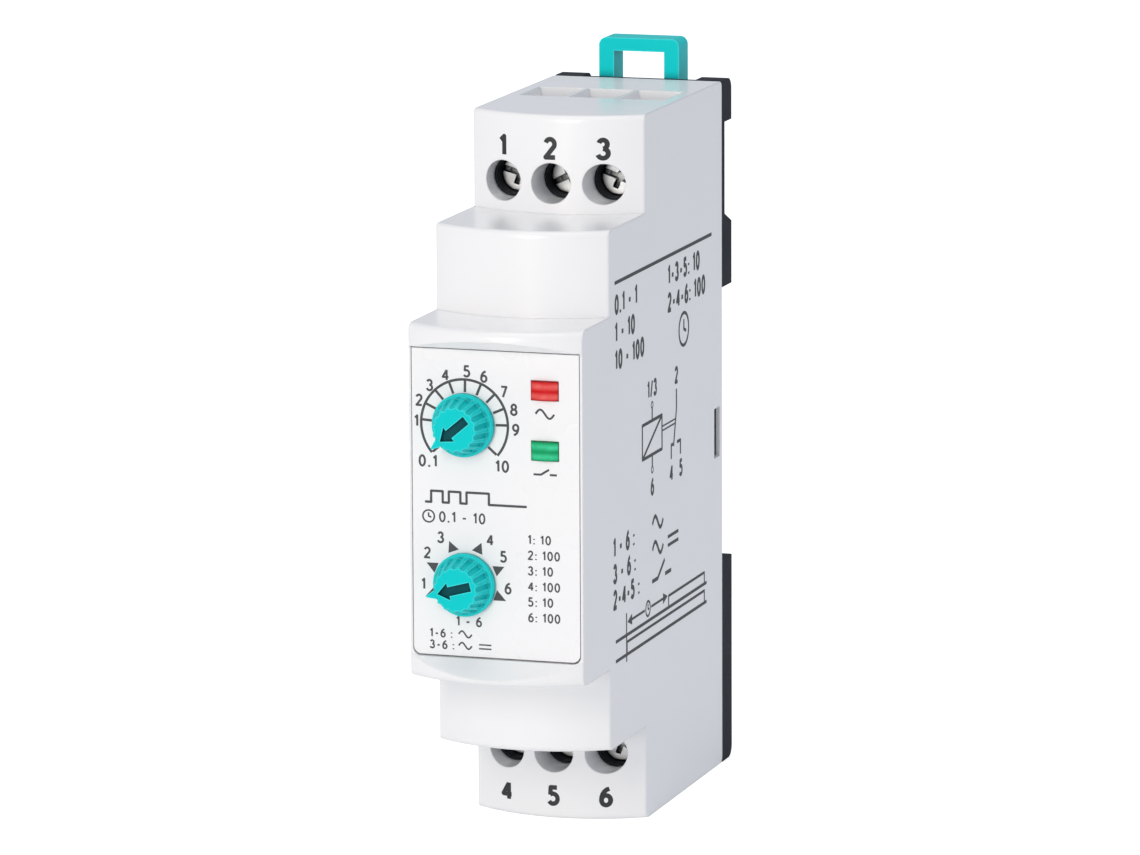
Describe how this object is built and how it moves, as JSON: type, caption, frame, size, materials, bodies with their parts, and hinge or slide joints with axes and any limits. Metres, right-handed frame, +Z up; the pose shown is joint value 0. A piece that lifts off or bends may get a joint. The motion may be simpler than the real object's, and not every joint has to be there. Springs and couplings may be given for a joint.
{
  "type": "din rail timer",
  "caption": "Stepped rail-mounted timing relay with two setting knobs, two indicator lenses, screw terminals at both ends and a sprung sliding foot.",
  "frame": {"origin": "middle of the flat seat that rests on the front of the rail", "axes": "+X along the rail to the right seen from the front, +Y from the front of the module to the rail, +Z up"},
  "size_m": [0.0226, 0.0681, 0.0951],
  "materials": {
    "housing_plastic": "moulded ABS, semi-gloss white",
    "label_plastic": "printed label plate, satin white",
    "teal_plastic": "moulded polyamide, teal",
    "red_lens": "clear red polycarbonate",
    "green_lens": "clear green polycarbonate",
    "black_plastic": "glass filled polyamide, black",
    "plated_steel": "zinc plated steel",
    "tinned_copper": "tinned copper",
    "board_laminate": "glass epoxy laminate with solder mask",
    "component_black": "moulded epoxy",
    "component_blue": "coated or moulded blue plastic",
    "component_cream": "moulded cream plastic",
    "component_amber": "dipped film capacitor",
    "led_epoxy": "diffused epoxy",
    "copper_wire": "enamelled copper wire",
    "soft_iron": "nickel plated soft iron"
  },
  "bodies": {
    "housing": {"shell": "housing_plastic", "front_plate": "label_plastic", "power_lens": "red_lens", "output_lens": "green_lens", "rear_base": "black_plastic", "slider_spring": "plated_steel", "terminal_block_top": "black_plastic", "terminal_block_bottom": "black_plastic", "busbar_1": "tinned_copper", "busbar_2": "tinned_copper", "busbar_3": "tinned_copper", "busbar_4": "tinned_copper", "busbar_5": "tinned_copper", "busbar_6": "tinned_copper", "main_board": "board_laminate", "front_board": "board_laminate", "board_link": "component_black", "time_pot_body": "component_blue", "range_switch_body": "component_black", "power_led": "led_epoxy", "output_led": "led_epoxy", "relay_base": "component_black", "relay_cover": "component_blue", "relay_bobbin": "component_cream", "relay_coil": "copper_wire", "relay_core": "soft_iron", "relay_yoke": "soft_iron", "relay_contacts": "tinned_copper", "dropper_capacitor": "component_amber", "smoothing_capacitor": "component_blue", "varistor": "component_blue", "bridge_rectifier": "component_black", "resistors": "component_cream", "controller_chip": "component_black"},
    "time_knob": {"time_knob": "teal_plastic", "time_pot_rotor": "component_cream"},
    "range_knob": {"range_knob": "teal_plastic", "range_switch_rotor": "component_cream"},
    "rail_slider": {"rail_slider": "teal_plastic"},
    "armature": {"relay_armature": "soft_iron"},
    "screw_1": {"terminal_screw_1": "plated_steel"},
    "cage_1": {"wire_cage_1": "plated_steel"},
    "screw_2": {"terminal_screw_2": "plated_steel"},
    "cage_2": {"wire_cage_2": "plated_steel"},
    "screw_3": {"terminal_screw_3": "plated_steel"},
    "cage_3": {"wire_cage_3": "plated_steel"},
    "screw_4": {"terminal_screw_4": "plated_steel"},
    "cage_4": {"wire_cage_4": "plated_steel"},
    "screw_5": {"terminal_screw_5": "plated_steel"},
    "cage_5": {"wire_cage_5": "plated_steel"},
    "screw_6": {"terminal_screw_6": "plated_steel"},
    "cage_6": {"wire_cage_6": "plated_steel"}
  },
  "joints": [
    {"name": "time_knob_turn", "type": "hinge", "parent": "housing", "child": "time_knob", "pos_m": [-0.004, -0.0596, 0.0095], "axis": [0, 1, 0], "range_deg": [0, 262]},
    {"name": "range_knob_turn", "type": "hinge", "parent": "housing", "child": "range_knob", "pos_m": [-0.004, -0.0596, -0.0105], "axis": [0, 1, 0], "range_deg": [0, 210]},
    {"name": "rail_slider_slide", "type": "slide", "parent": "housing", "child": "rail_slider", "axis": [0, 0, 1], "range_m": [0, 0.003], "stiffness_N_per_m": 600, "springref_m": -0.003, "deforming": ["slider_spring"]},
    {"name": "armature_pull", "type": "hinge", "parent": "housing", "child": "armature", "pos_m": [0.003, -0.0148, 0.0071], "axis": [0, -1, 0], "range_deg": [0, 3], "stiffness_Nm_per_rad": 0.01, "springref_deg": -2.86},
    {"name": "screw_1_turn", "type": "hinge", "parent": "housing", "child": "screw_1", "pos_m": [-0.0066, -0.0294, 0.0364], "axis": [0, 1, 0], "range_deg": [0, 2880]},
    {"name": "cage_1_rise", "type": "slide", "parent": "housing", "child": "cage_1", "axis": [0, -1, 0], "range_m": [0, 0.004]},
    {"name": "screw_2_turn", "type": "hinge", "parent": "housing", "child": "screw_2", "pos_m": [0, -0.0294, 0.0364], "axis": [0, 1, 0], "range_deg": [0, 2880]},
    {"name": "cage_2_rise", "type": "slide", "parent": "housing", "child": "cage_2", "axis": [0, -1, 0], "range_m": [0, 0.004]},
    {"name": "screw_3_turn", "type": "hinge", "parent": "housing", "child": "screw_3", "pos_m": [0.0066, -0.0294, 0.0364], "axis": [0, 1, 0], "range_deg": [0, 2880]},
    {"name": "cage_3_rise", "type": "slide", "parent": "housing", "child": "cage_3", "axis": [0, -1, 0], "range_m": [0, 0.004]},
    {"name": "screw_4_turn", "type": "hinge", "parent": "housing", "child": "screw_4", "pos_m": [-0.0066, -0.0294, -0.0364], "axis": [0, 1, 0], "range_deg": [0, 2880]},
    {"name": "cage_4_rise", "type": "slide", "parent": "housing", "child": "cage_4", "axis": [0, -1, 0], "range_m": [0, 0.004]},
    {"name": "screw_5_turn", "type": "hinge", "parent": "housing", "child": "screw_5", "pos_m": [0, -0.0294, -0.0364], "axis": [0, 1, 0], "range_deg": [0, 2880]},
    {"name": "cage_5_rise", "type": "slide", "parent": "housing", "child": "cage_5", "axis": [0, -1, 0], "range_m": [0, 0.004]},
    {"name": "screw_6_turn", "type": "hinge", "parent": "housing", "child": "screw_6", "pos_m": [0.0066, -0.0294, -0.0364], "axis": [0, 1, 0], "range_deg": [0, 2880]},
    {"name": "cage_6_rise", "type": "slide", "parent": "housing", "child": "cage_6", "axis": [0, -1, 0], "range_m": [0, 0.004]}
  ],
  "couplings": [
    {"joint": "screw_1_turn", "follows": "cage_1_rise", "rad_per_m": 12566},
    {"joint": "screw_2_turn", "follows": "cage_2_rise", "rad_per_m": 12566},
    {"joint": "screw_3_turn", "follows": "cage_3_rise", "rad_per_m": 12566},
    {"joint": "screw_4_turn", "follows": "cage_4_rise", "rad_per_m": 12566},
    {"joint": "screw_5_turn", "follows": "cage_5_rise", "rad_per_m": 12566},
    {"joint": "screw_6_turn", "follows": "cage_6_rise", "rad_per_m": 12566}
  ]
}
